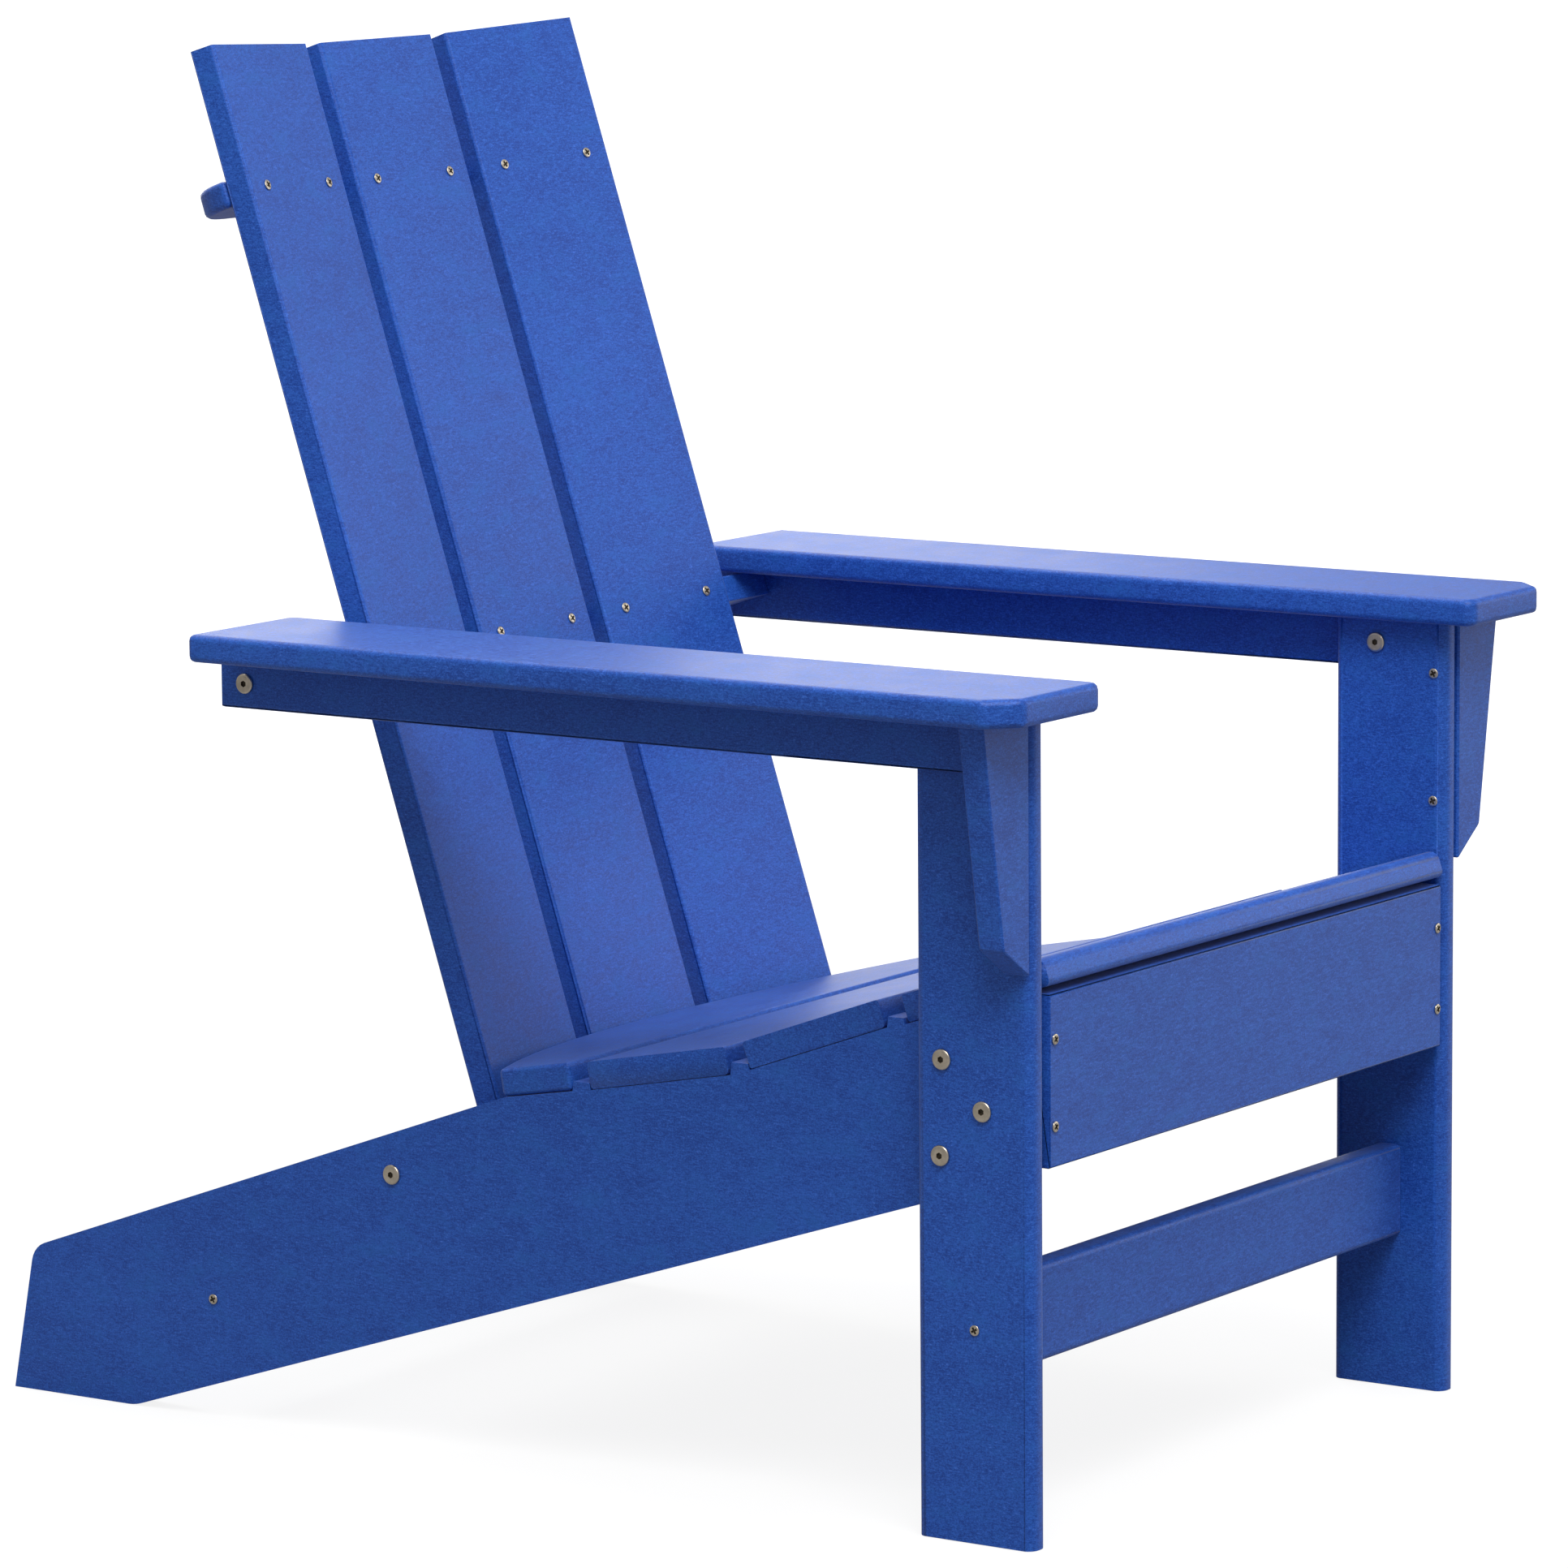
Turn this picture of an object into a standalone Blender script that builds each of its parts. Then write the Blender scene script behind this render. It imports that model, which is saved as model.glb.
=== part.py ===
"""Adirondack chair of recycled plastic boards, as separate boards, bolts and screws. Metres, +Z up, facing -Y."""

import math

import bmesh
import bpy
from mathutils import Matrix, Vector

# Board stock
BOARD_T = 0.01905  # thickness of every board
SLAT_W = 0.1143  # width of a seat slat and of the apron
BACK_SLAT_W = 0.1316
LEG_W = 0.0889
STRETCHER_W = 0.0651
RAIL_H = 0.0378
GAP = 0.0003  # clearance between touching pieces
LEG_ROUND = 0.0080
RAIL_ROUND = 0.003
SLAT_ROUND = 0.003
ARM_ROUND = 0.0045
STRETCHER_ROUND = 0.0045
ARC_STEPS = 3
LEG_ARC_STEPS = 5

# Overall layout
FRAME_HALF_W = 0.2794  # centre to the leg's outer face
ARM_TOP_Z = 0.56515
ARM_OVERHANG = 0.0762  # leg's outer face to the arm's outer edge
ARM_W = 0.1143
ARM_FRONT_Y = -0.03175
ARM_REAR_SETBACK = 0.016  # arm rail's rear end to the arm's
ARM_CLIP = 0.020  # clipped outer front corner
ARM_CORNER_R = 0.009
RAIL_TAIL = 0.0208  # arm rail behind its rear bolt
BRACKET_TOP_W = 0.0556
BRACKET_LOW_W = 0.0316
BRACKET_H = 0.168
BRACKET_CLIP = 0.020

# Seat: the lower front edge of each slat in the side view, its tilt, and its run
SEAT_REAR = (0.3754, 0.2625, 9.8)
SEAT_MID_REAR = (0.2473, 0.2862, 10.7)
SEAT_MID_FRONT = (0.1231, 0.3300, 19.7)
SEAT_FRONT = (-0.0014, 0.3686, 17.6)
SEAT_REAR_END_RUN = 0.0580
SEAT_REAR_MID_RUN = 0.1190
SEAT_FRONT_SIDE_GAP = 0.0028  # front slat to the leg
SEAT_ARC_STEPS = 12

# Front boards
APRON_Z = 0.2481
APRON_SIDE_GAP = 0.0048  # apron to the leg
FRONT_STRETCHER_Y = 0.0431
FRONT_STRETCHER_Z = 0.14165
REAR_STRETCHER_YZ = (0.6845, 0.0842)

# Seat rails, in the side view
RAIL_SLOPE = 18.1  # lower edge, degrees
RAIL_HEEL_Y = 0.7566
RAIL_FOOT_Y = 0.8657
RAIL_REAR_TOP = (0.8457, 0.1037)
RAIL_SEAT_TOP = (0.4318, 0.2524)
RAIL_CORNER_R = 0.018
TOOTH_TOPS = ((0.3750, 0.3602, 0.2691), (0.2465, 0.2315, 0.2949), (0.1225, 0.1088, 0.3372))

# Back, in its own frame: x across, v to the rear, u up along the slats
RECLINE = 18.0
BACK_ORIGIN = (0.0, 0.5970, 0.5588)
BACK_HALF_LEN = 0.4064
WING_ANGLE = 8.4  # turn of the two outer slats towards the sitter
WING_INNER = (0.0812, -0.0006)
UPPER_BRACE_U = 0.3056
LOWER_BRACE_U = -0.3730
UPPER_BRACE_REAR = 0.043
ARM_BRACE_REAR = 0.060
LOWER_BRACE_REAR = 0.1048
BRACE_TIP_V = -0.007
BRACE_CORNER_R = 0.040
BRACE_ROUND = 0.0045

# Fasteners
BOLT_HEAD_R = 0.0070
BOLT_HEAD_T = 0.0020
BOLT_R = 0.0032
BOLT_SOCKET_AF = 0.0044  # hex socket across flats
BOLT_SOCKET_DEPTH = 0.0012
SCREW_HEAD_R = 0.0036
SCREW_HEAD_T = 0.0010
SCREW_R = 0.0022
SCREW_SLOT_W = 0.0011
SCREW_SLOT_L = 0.0042
SCREW_SLOT_DEPTH = 0.0006
HOLE_CLEAR = 0.0002
BOLT_STEPS = 14
SCREW_STEPS = 8
HOLE_STEPS = 8
HOLE_OVERSHOOT = 0.001
LEG_BOLTS = ((0.0673, 0.3174), (0.0365, 0.2861), (0.0687, 0.2541))
LEG_BOLT_LEN = 0.034
BRACE_BOLT_LEN = 0.045
BRACKET_SCREWS_DOWN = (0.1258, 0.0363)  # below the leg's top
BRACKET_SCREW_Y = 0.0090
RAIL_BOLT_Y = 0.0549
RAIL_BOLT_DOWN = 0.0172
ARM_BRACE_BOLT_V = 0.0285
LOWER_BRACE_BOLT_V = 0.0478
APRON_SCREWS_Z = (0.2753, 0.3325)
APRON_SCREW_LEN = 0.040
BACK_SCREW_EDGE = 0.0230  # centre of a back screw to the slat's edge
BACK_SCREW_LEN = 0.038

ARM_UNDER_Z = ARM_TOP_Z - BOARD_T
POST_TOP_Z = ARM_UNDER_Z - GAP
LEG_IN = FRAME_HALF_W - BOARD_T
SEAT_RAIL_OUT = LEG_IN - GAP
SEAT_RAIL_IN = SEAT_RAIL_OUT - BOARD_T
RAIL_IN = FRAME_HALF_W + GAP
RAIL_OUT = RAIL_IN + BOARD_T
ARM_HALF_OUT = FRAME_HALF_W + ARM_OVERHANG
SEAT_FRONT_HALF_W = LEG_IN - SEAT_FRONT_SIDE_GAP
APRON_HALF_W = LEG_IN - APRON_SIDE_GAP
APRON_SCREW_X = (SEAT_RAIL_IN + SEAT_RAIL_OUT) / 2.0
# The arm-level brace passes just under the arms, and the arm rails end just behind its bolts
LEAN_SIN = math.sin(math.radians(RECLINE))
LEAN_COS = math.cos(math.radians(RECLINE))
BRACE_TOP = POST_TOP_Z - HOLE_CLEAR - BACK_ORIGIN[2] + BRACE_TIP_V * LEAN_SIN
ARM_BRACE_U = BRACE_TOP / LEAN_COS - BOARD_T / 2.0
RAIL_REAR_Y = BACK_ORIGIN[1] + ARM_BRACE_BOLT_V * LEAN_COS + ARM_BRACE_U * LEAN_SIN + RAIL_TAIL
ARM_REAR_Y = RAIL_REAR_Y - ARM_REAR_SETBACK

BLUE = (0.030, 0.085, 0.390, 1.0)
STEEL = (0.62, 0.58, 0.52, 1.0)
SIDES = (("right", -1.0), ("left", 1.0))

for old in list(bpy.data.objects):
    bpy.data.objects.remove(old, do_unlink=True)
body = bpy.data.collections.new("adirondack_chair")
cutters = bpy.data.collections.new("cutters")
bpy.context.scene.collection.children.link(body)
bpy.context.scene.collection.children.link(cutters)
cutters.hide_render = True


def material_for(name, colour, metallic, roughness):
    """One Principled material, used by one sub-part."""
    made = bpy.data.materials.new(name)
    made.use_nodes = True
    shader = made.node_tree.nodes["Principled BSDF"]
    shader.inputs["Base Color"].default_value = colour
    shader.inputs["Metallic"].default_value = metallic
    shader.inputs["Roughness"].default_value = roughness
    return made


def rounded(points, radii, steps=ARC_STEPS):
    """The outline with each corner replaced by an arc of its radius, or kept where the radius is 0."""
    found = []
    count = len(points)
    for index, point in enumerate(points):
        here = Vector(point)
        radius = radii[index] if isinstance(radii, (list, tuple)) else radii
        before = (Vector(points[index - 1]) - here).normalized()
        after = (Vector(points[(index + 1) % count]) - here).normalized()
        angle = before.angle(after)
        if radius <= 0.0 or angle > math.radians(179.0):
            found.append(here)
            continue
        reach = radius / math.tan(angle / 2.0)
        centre = here + (before + after).normalized() * (radius / math.sin(angle / 2.0))
        start = here + before * reach - centre
        end = here + after * reach - centre
        sweep = start.angle_signed(end)
        for step in range(steps + 1):
            turned = start.copy()
            turned.rotate(Matrix.Rotation(-sweep * step / steps, 2))
            found.append(centre + turned)
    return found


def extruded(name, outline, thickness, matrix):
    """A mesh object: the outline in its local XY, from local z = 0 up to the thickness."""
    curve = bpy.data.curves.new(name, "CURVE")
    curve.dimensions = "2D"
    curve.fill_mode = "BOTH"
    curve.extrude = thickness / 2.0
    spline = curve.splines.new("POLY")
    spline.points.add(len(outline) - 1)
    for point, corner in zip(spline.points, outline):
        point.co = (corner[0], corner[1], 0.0, 1.0)
    spline.use_cyclic_u = True
    holder = bpy.data.objects.new(name + "_outline", curve)
    bpy.context.scene.collection.objects.link(holder)
    bpy.context.view_layer.update()
    mesh = bpy.data.meshes.new_from_object(holder.evaluated_get(bpy.context.evaluated_depsgraph_get()))
    bpy.data.objects.remove(holder, do_unlink=True)
    work = bmesh.new()
    work.from_mesh(mesh)
    bmesh.ops.remove_doubles(work, verts=work.verts, dist=0.00001)
    bmesh.ops.dissolve_limit(work, angle_limit=0.01, verts=work.verts, edges=work.edges)
    bmesh.ops.translate(work, verts=work.verts, vec=(0.0, 0.0, thickness / 2.0))
    bmesh.ops.recalc_face_normals(work, faces=work.faces)
    work.to_mesh(mesh)
    work.free()
    mesh.name = name
    made = bpy.data.objects.new(name, mesh)
    made.matrix_world = matrix
    return made


def keep(made, colour=BLUE, metallic=0.0, roughness=0.45):
    """Puts a finished sub-part in the chair with its own material and smooth rounds."""
    body.objects.link(made)
    made.data.materials.clear()
    made.data.materials.append(material_for(made.name, colour, metallic, roughness))
    made.data.shade_smooth()
    made.data.set_sharp_from_angle(angle=math.radians(32.0))
    return made


def axes(origin, x_axis, y_axis):
    """Matrix whose local X and Y lie along the two given directions."""
    x_dir = Vector(x_axis).normalized()
    y_dir = Vector(y_axis).normalized()
    z_dir = x_dir.cross(y_dir)
    turn = Matrix((x_dir, y_dir, z_dir)).transposed().to_4x4()
    return Matrix.Translation(Vector(origin)) @ turn


def round_edges(made, width, segments=ARC_STEPS):
    """Rounds the sharp edges of a board."""
    bevel = made.modifiers.new("round", "BEVEL")
    bevel.width = width
    bevel.segments = segments
    bevel.limit_method = "ANGLE"
    bevel.angle_limit = math.radians(40.0)


def rectangle(x_low, x_high, y_low, y_high):
    return [(x_low, y_low), (x_high, y_low), (x_high, y_high), (x_low, y_high)]


# Fasteners and their holes
holes = {}


def drill(board_names, radius, length, matrix):
    """Notes a hole along local -Z from the origin, to be cut from the named boards."""
    for board_name in board_names:
        holes.setdefault(board_name, []).append((radius, length, matrix.copy()))


def lathe(name, profile, steps, matrix):
    """A solid turned about local Z from (radius, height) points."""
    work = bmesh.new()
    rim = [work.verts.new((radius, 0.0, height)) for radius, height in profile]
    edges = [work.edges.new(pair) for pair in zip(rim, rim[1:])]
    bmesh.ops.spin(
        work,
        geom=rim + edges,
        cent=(0.0, 0.0, 0.0),
        axis=(0.0, 0.0, 1.0),
        angle=2.0 * math.pi,
        steps=steps,
        use_merge=True,
    )
    bmesh.ops.remove_doubles(work, verts=work.verts, dist=0.000001)
    bmesh.ops.recalc_face_normals(work, faces=work.faces)
    mesh = bpy.data.meshes.new(name)
    work.to_mesh(mesh)
    work.free()
    made = bpy.data.objects.new(name, mesh)
    made.matrix_world = matrix
    return made


def cutter_object(name, work, matrix):
    """Puts a cutting solid in the hidden collection."""
    mesh = bpy.data.meshes.new(name)
    bmesh.ops.recalc_face_normals(work, faces=work.faces)
    work.to_mesh(mesh)
    work.free()
    made = bpy.data.objects.new(name, mesh)
    made.matrix_world = matrix
    made.hide_render = True
    made.display_type = "WIRE"
    cutters.objects.link(made)
    return made


def cut(made, tool, label):
    boolean = made.modifiers.new(label, "BOOLEAN")
    boolean.operation = "DIFFERENCE"
    boolean.solver = "EXACT"
    boolean.object = tool


def fastener_frame(point, outward, across=(0.0, 0.0, 1.0)):
    """Local Z points out of the surface, local X as near as it can to the given direction."""
    z_dir = Vector(outward).normalized()
    y_dir = z_dir.cross(Vector(across)).normalized()
    x_dir = y_dir.cross(z_dir)
    turn = Matrix((x_dir, y_dir, z_dir)).transposed().to_4x4()
    return Matrix.Translation(Vector(point)) @ turn


def bolt(name, point, outward, length, boards):
    """A furniture bolt: flat head standing on the surface, hex socket, plain shank in the boards."""
    matrix = fastener_frame(point, outward)
    top = GAP + BOLT_HEAD_T
    edge = BOLT_HEAD_T * 0.3
    profile = [
        (0.0, -length),
        (BOLT_R, -length),
        (BOLT_R, GAP),
        (BOLT_HEAD_R, GAP),
        (BOLT_HEAD_R, top - edge),
        (BOLT_HEAD_R - edge, top),
        (0.0, top),
    ]
    made = lathe(name, profile, BOLT_STEPS, matrix)
    work = bmesh.new()
    bmesh.ops.create_cone(
        work,
        cap_ends=True,
        segments=6,
        radius1=BOLT_SOCKET_AF / math.sqrt(3.0),
        radius2=BOLT_SOCKET_AF / math.sqrt(3.0),
        depth=2.0 * BOLT_SOCKET_DEPTH,
        matrix=Matrix.Translation((0.0, 0.0, top)),
    )
    cut(made, cutter_object(name + "_socket", work, matrix), "socket")
    keep(made, STEEL, 1.0, 0.35)
    drill(boards, BOLT_R, length, matrix)


def screw(name, point, outward, length, boards):
    """A pan-head wood screw: low head on the surface, cross recess, shank in the boards."""
    matrix = fastener_frame(point, outward)
    top = GAP + SCREW_HEAD_T
    profile = [
        (0.0, -length),
        (SCREW_R, -length + SCREW_R),
        (SCREW_R, GAP),
        (SCREW_HEAD_R, GAP),
        (SCREW_HEAD_R * 0.85, top),
        (0.0, top),
    ]
    made = lathe(name, profile, SCREW_STEPS, matrix)
    for turn in (0.0, math.pi / 2.0):
        work = bmesh.new()
        bmesh.ops.create_cube(work, size=1.0)
        bmesh.ops.scale(work, vec=(SCREW_SLOT_L, SCREW_SLOT_W, 2.0 * SCREW_SLOT_DEPTH), verts=work.verts)
        placed = matrix @ Matrix.Translation((0.0, 0.0, top)) @ Matrix.Rotation(turn + 0.4, 4, "Z")
        cut(made, cutter_object(f"{name}_slot{int(turn)}", work, placed), f"slot{int(turn)}")
    keep(made, STEEL, 1.0, 0.35)
    drill(boards, SCREW_R, length, matrix)


def drill_board(made):
    """Cuts this board's noted holes, all from one hidden solid."""
    if made.name not in holes:
        return
    work = bmesh.new()
    for radius, length, matrix in holes[made.name]:
        depth = length + 2.0 * HOLE_OVERSHOOT
        hole_r = (radius + HOLE_CLEAR) / math.cos(math.pi / HOLE_STEPS)
        bmesh.ops.create_cone(
            work,
            cap_ends=True,
            segments=HOLE_STEPS,
            radius1=hole_r,
            radius2=hole_r,
            depth=depth,
            matrix=matrix @ Matrix.Translation((0.0, 0.0, HOLE_OVERSHOOT - depth / 2.0)),
        )
    cut(made, cutter_object(made.name + "_holes", work, Matrix.Identity(4)), "holes")


boards = []


def board(made):
    boards.append(keep(made))
    return made


# Legs, arm rails, arm brackets and arms, one of each a side
for side, sign in SIDES:
    inner, outer = sorted((sign * LEG_IN, sign * FRAME_HALF_W))
    board(
        extruded(
            f"front_leg_{side}",
            rounded(rectangle(inner, outer, 0.0, LEG_W), LEG_ROUND, LEG_ARC_STEPS),
            POST_TOP_Z,
            Matrix.Identity(4),
        )
    )
    inner, outer = sorted((sign * RAIL_IN, sign * RAIL_OUT))
    rail_front = BOARD_T + GAP
    board(
        extruded(
            f"arm_rail_{side}",
            rounded(rectangle(inner, outer, POST_TOP_Z - RAIL_H, POST_TOP_Z), RAIL_ROUND, 2),
            RAIL_REAR_Y - rail_front,
            axes((0.0, RAIL_REAR_Y, 0.0), (1.0, 0.0, 0.0), (0.0, 0.0, 1.0)),
        )
    )
    low_z = POST_TOP_Z - BRACKET_H
    bracket = [
        (sign * RAIL_IN, POST_TOP_Z),
        (sign * (FRAME_HALF_W + BRACKET_TOP_W), POST_TOP_Z),
        (sign * (FRAME_HALF_W + BRACKET_LOW_W), low_z + BRACKET_CLIP),
        (sign * (RAIL_IN + 0.002), low_z),
        (sign * RAIL_IN, low_z),
    ]
    made = extruded(
        f"arm_bracket_{side}",
        bracket,
        BOARD_T,
        axes((0.0, BOARD_T, 0.0), (1.0, 0.0, 0.0), (0.0, 0.0, 1.0)),
    )
    round_edges(made, 0.003, 2)
    board(made)
    arm_in = ARM_HALF_OUT - ARM_W
    arm = [
        (sign * arm_in, ARM_FRONT_Y),
        (sign * (ARM_HALF_OUT - ARM_CLIP), ARM_FRONT_Y),
        (sign * ARM_HALF_OUT, ARM_FRONT_Y + ARM_CLIP),
        (sign * ARM_HALF_OUT, ARM_REAR_Y),
        (sign * arm_in, ARM_REAR_Y),
    ]
    made = extruded(
        f"arm_{side}",
        rounded(arm, (ARM_CORNER_R, 0.0, 0.0, 0.0, ARM_CORNER_R), 4),
        BOARD_T,
        Matrix.Translation((0.0, 0.0, ARM_UNDER_Z)),
    )
    round_edges(made, ARM_ROUND)
    board(made)


def slat_side_frame(front, half_width):
    """Local X runs down to the rear along the slat, local Y up through it, local Z across it."""
    tilt = math.radians(front[2])
    run = (0.0, math.cos(tilt), -math.sin(tilt))
    up = (0.0, math.sin(tilt), math.cos(tilt))
    return axes((-half_width, front[0], front[1]), run, up)


# Seat slats from rear to front. The rear one has a bowed rear edge that follows the back
tilt = math.radians(SEAT_REAR[2])
run_dir = Vector((0.0, math.cos(tilt), -math.sin(tilt)))
bow = SEAT_REAR_MID_RUN - SEAT_REAR_END_RUN
plan = [(-SEAT_RAIL_OUT, 0.0), (SEAT_RAIL_OUT, 0.0)]
for step in range(SEAT_ARC_STEPS + 1):
    across = 1.0 - 2.0 * step / SEAT_ARC_STEPS
    plan.append((across * SEAT_RAIL_OUT, SEAT_REAR_END_RUN + bow * (1.0 - abs(across) ** 2.2)))
made = extruded(
    "seat_slat_rear",
    plan,
    BOARD_T,
    axes((0.0, SEAT_REAR[0], SEAT_REAR[1]), (1.0, 0.0, 0.0), run_dir),
)
round_edges(made, SLAT_ROUND, 2)
board(made)
seat_rows = (
    ("seat_slat_mid_rear", SEAT_MID_REAR, SEAT_RAIL_OUT, SLAT_ROUND),
    ("seat_slat_mid_front", SEAT_MID_FRONT, SEAT_RAIL_OUT, SLAT_ROUND),
    ("seat_slat_front", SEAT_FRONT, SEAT_FRONT_HALF_W, SLAT_ROUND),
)
for name, front, half_width, edge in seat_rows:
    section = rectangle(0.0, SLAT_W, 0.0, BOARD_T)
    front_edge = (edge * 1.5, edge, edge, edge * 2.5 if name == "seat_slat_front" else edge)
    matrix = slat_side_frame(front, half_width)
    board(extruded(name, rounded(section, front_edge), 2.0 * half_width, matrix))

# Seat rails: sloping boards whose top steps up between the slats
slope = math.tan(math.radians(RAIL_SLOPE))


def under_slat(front, y):
    """Height of the seat rail's pocket under a slat."""
    tilt = math.radians(front[2])
    return front[1] - (y - front[0]) * math.tan(tilt) - GAP / math.cos(tilt)


rail_front_y = BOARD_T + GAP
rail_top = [RAIL_SEAT_TOP]
pockets = (SEAT_REAR, SEAT_MID_REAR, SEAT_MID_FRONT, SEAT_FRONT)
for (rear_y, front_y, top_z), rear_slat, front_slat in zip(TOOTH_TOPS, pockets, pockets[1:]):
    rail_top.append((rear_y, under_slat(rear_slat, rear_y)))
    rail_top.append((rear_y - 0.0010, top_z))
    rail_top.append((front_y + 0.0010, top_z))
    rail_top.append((front_y, under_slat(front_slat, front_y)))
rail_top.append((rail_front_y, under_slat(SEAT_FRONT, rail_front_y)))
rail_top[0] = (RAIL_SEAT_TOP[0], under_slat(SEAT_REAR, RAIL_SEAT_TOP[0]))
rail_low = [
    (rail_front_y, 0.256),
    (0.052, (RAIL_HEEL_Y - 0.052) * slope),
    (RAIL_HEEL_Y, 0.0),
    (RAIL_FOOT_Y, 0.0),
    RAIL_REAR_TOP,
]
seat_rail = rail_top + rail_low
rail_radii = [0.0] * len(rail_top) + [0.0, 0.006, 0.040, 0.0, RAIL_CORNER_R]
for side, sign in SIDES:
    low_x = SEAT_RAIL_IN if sign > 0.0 else -SEAT_RAIL_OUT
    board(
        extruded(
            f"seat_rail_{side}",
            rounded(seat_rail, rail_radii, 5),
            BOARD_T,
            axes((low_x, 0.0, 0.0), (0.0, 1.0, 0.0), (0.0, 0.0, 1.0)),
        )
    )

# Apron and the two stretchers
board(
    extruded(
        "apron",
        rounded(rectangle(0.0, BOARD_T, APRON_Z, APRON_Z + SLAT_W), 0.002, 2),
        2.0 * APRON_HALF_W,
        axes((-APRON_HALF_W, 0.0, 0.0), (0.0, 1.0, 0.0), (0.0, 0.0, 1.0)),
    )
)
half_t = BOARD_T / 2.0
half_w = STRETCHER_W / 2.0
section = rounded(rectangle(-half_t, half_t, -half_w, half_w), STRETCHER_ROUND)
board(
    extruded(
        "front_stretcher",
        section,
        2.0 * SEAT_RAIL_OUT,
        axes((-SEAT_RAIL_OUT, FRONT_STRETCHER_Y, FRONT_STRETCHER_Z), (0.0, 1.0, 0.0), (0.0, 0.0, 1.0)),
    )
)
lean = math.radians(RAIL_SLOPE)
between = SEAT_RAIL_IN - GAP
board(
    extruded(
        "rear_stretcher",
        section,
        2.0 * between,
        axes(
            (-between, REAR_STRETCHER_YZ[0], REAR_STRETCHER_YZ[1]),
            (0.0, math.cos(lean), -math.sin(lean)),
            (0.0, math.sin(lean), math.cos(lean)),
        ),
    )
)

# Back frame: slats and the three braces behind them
back = Matrix.Translation(BACK_ORIGIN) @ Matrix.Rotation(math.radians(-RECLINE), 4, "X")
slat_frames = {
    "back_slat_middle": back @ Matrix.Translation((-BACK_SLAT_W / 2.0, 0.0, -BACK_HALF_LEN)),
    "back_slat_left": back
    @ Matrix.Translation((WING_INNER[0], WING_INNER[1], -BACK_HALF_LEN))
    @ Matrix.Rotation(math.radians(-WING_ANGLE), 4, "Z"),
    "back_slat_right": back
    @ Matrix.Translation((-WING_INNER[0], WING_INNER[1], -BACK_HALF_LEN))
    @ Matrix.Rotation(math.radians(WING_ANGLE), 4, "Z")
    @ Matrix.Translation((-BACK_SLAT_W, 0.0, 0.0)),
}
slat_section = rounded(rectangle(0.0, BACK_SLAT_W, 0.0, BOARD_T), SLAT_ROUND)
for name, matrix in slat_frames.items():
    board(extruded(name, slat_section, 2.0 * BACK_HALF_LEN, matrix))

wing = math.radians(WING_ANGLE)
near_x = WING_INNER[0] + (BOARD_T + GAP) * math.sin(wing)
near_v = WING_INNER[1] + (BOARD_T + GAP) * math.cos(wing)
far_x = near_x + BACK_SLAT_W * math.cos(wing)
far_v = near_v - BACK_SLAT_W * math.sin(wing)
seat_v = BOARD_T + GAP


def brace(name, centre_u, half_width, tip, rear_v, corner, edge=0.0):
    """A flat board across the back whose front edge follows the slats."""
    front = [(near_x, near_v), (far_x, far_v)]
    if half_width > far_x + 0.001:
        front.append((half_width, tip))
    bend = (near_x - 0.010, seat_v)
    left = [bend] + front + [(half_width, rear_v)]
    right = [(-x, v) for x, v in reversed(left)]
    corner = min(corner, 0.9 * (rear_v - left[-2][1]))
    radii = [0.0] * (len(left) - 1) + [corner, corner] + [0.0] * (len(left) - 1)
    made = extruded(
        name,
        rounded(left + right, radii, 8),
        BOARD_T,
        back @ Matrix.Translation((0.0, 0.0, centre_u - BOARD_T / 2.0)),
    )
    if edge > 0.0:
        round_edges(made, edge)
    board(made)


brace("upper_back_brace", UPPER_BRACE_U, far_x - 0.001, 0.0, UPPER_BRACE_REAR, BRACE_CORNER_R, BRACE_ROUND)
brace("arm_back_brace", ARM_BRACE_U, FRAME_HALF_W - GAP, BRACE_TIP_V, ARM_BRACE_REAR, 0.0)
brace("lower_back_brace", LOWER_BRACE_U, between, far_v, LOWER_BRACE_REAR, 0.0)


def back_point(x, v, u):
    return back @ Vector((x, v, u))


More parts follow.
